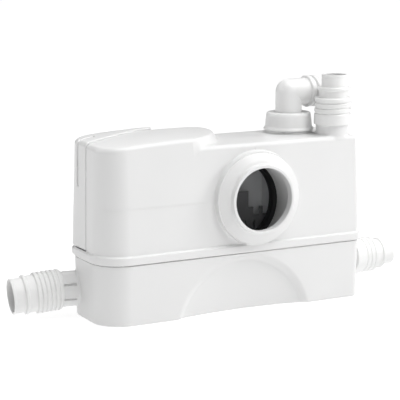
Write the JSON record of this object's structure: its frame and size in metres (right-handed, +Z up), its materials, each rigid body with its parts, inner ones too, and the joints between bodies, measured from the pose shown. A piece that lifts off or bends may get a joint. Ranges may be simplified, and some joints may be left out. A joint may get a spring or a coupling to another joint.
{
  "type": "macerator toilet pump",
  "caption": "Floor-standing white macerator toilet pump: low tank, upper housing with front toilet inlet, motor dome, stepped waste sleeves and a swivelling discharge elbow.",
  "frame": {"origin": "on the floor under the middle of the tank's footprint", "axes": "+Z up, +X to the right seen from the toilet, toilet inlet faces -Y"},
  "size_m": [0.7017, 0.189, 0.366],
  "materials": {
    "white_shell": "semi-gloss moulded white plastic",
    "white_fitting": "semi-gloss moulded white plastic",
    "white_rubber": "satin white rubber",
    "black_rubber": "matt black rubber",
    "grey_rubber": "matt grey rubber",
    "dark_plastic": "matt dark grey plastic",
    "grey_plastic": "matt light grey plastic",
    "cream_plastic": "matt cream plastic",
    "steel": "bright stainless steel",
    "painted_can": "grey enamel on pressed steel",
    "lamination": "stacked electrical steel",
    "copper": "varnished copper wire",
    "brass": "turned brass",
    "alu": "drawn aluminium can",
    "carbon_foam": "open black carbon foam"
  },
  "bodies": {
    "unit": {"tank": "white_shell", "housing": "white_shell", "rear_cover": "white_shell", "tank_gasket": "grey_rubber", "assembly_screws": "steel", "cover_screws": "steel", "left_flap_pin": "steel", "right_flap_pin": "steel", "motor_screws": "steel", "upper_bearing": "steel", "lower_bearing": "steel", "wc_seal": "black_rubber", "riser_gasket": "black_rubber", "motor_plate_gasket": "black_rubber", "shaft_seal": "black_rubber", "membrane": "black_rubber", "rag_comb": "dark_plastic", "macerator_basket": "dark_plastic", "inlet_chamber": "grey_plastic", "left_connector": "white_rubber", "right_connector": "white_rubber", "top_connector": "white_rubber", "left_valve_seat": "grey_plastic", "right_valve_seat": "grey_plastic", "discharge_pipe": "grey_plastic", "volute": "grey_plastic", "motor_plate": "grey_plastic", "pressure_bell": "grey_plastic", "membrane_cap": "grey_plastic", "cable_gland": "white_fitting", "gland_nut": "white_fitting", "motor_housing": "painted_can", "stator_core": "lamination", "stator_windings": "copper", "microswitch": "dark_plastic", "capacitor": "alu", "terminal_block": "cream_plastic", "carbon_filter": "carbon_foam"},
    "rotor": {"shaft": "steel", "rotor_core": "lamination", "cutter": "steel", "impeller": "dark_plastic", "blade_nut": "steel"},
    "elbow": {"discharge_elbow": "white_fitting", "elbow_oring": "black_rubber", "check_seat": "grey_plastic", "check_pin": "steel"},
    "cap": {"retaining_cap": "white_fitting"},
    "left_valve": {"left_flap": "black_rubber"},
    "right_valve": {"right_flap": "black_rubber"},
    "check_valve": {"check_flap": "black_rubber"},
    "plunger": {"switch_plunger": "brass"}
  },
  "joints": [
    {"name": "rotor_spin", "type": "hinge", "parent": "unit", "child": "rotor", "pos_m": [-0.112, -0.008, 0.1], "axis": [0, 0, 1], "continuous": true},
    {"name": "elbow_swivel", "type": "hinge", "parent": "unit", "child": "elbow", "pos_m": [0.147, 0.019, 0.29], "axis": [0, 0, 1], "range_deg": [0, 240]},
    {"name": "cap_turn", "type": "hinge", "parent": "unit", "child": "cap", "pos_m": [0.147, 0.019, 0.29], "axis": [0, 0, 1], "range_deg": [0, 60]},
    {"name": "left_flap_hinge", "type": "hinge", "parent": "unit", "child": "left_valve", "pos_m": [-0.1964, 0.0395, 0.0675], "axis": [0, -1, 0], "range_deg": [0, 55]},
    {"name": "right_flap_hinge", "type": "hinge", "parent": "unit", "child": "right_valve", "pos_m": [0.2184, 0.0395, 0.0655], "axis": [0, 1, 0], "range_deg": [0, 55]},
    {"name": "check_flap_hinge", "type": "hinge", "parent": "elbow", "child": "check_valve", "pos_m": [0.1282, 0.019, 0.274], "axis": [0, -1, 0], "range_deg": [0, 60]},
    {"name": "plunger_lift", "type": "slide", "parent": "unit", "child": "plunger", "axis": [0, 0, 1], "range_m": [0, 0.0025], "stiffness_N_per_m": 400, "deforming": ["membrane"]}
  ]
}
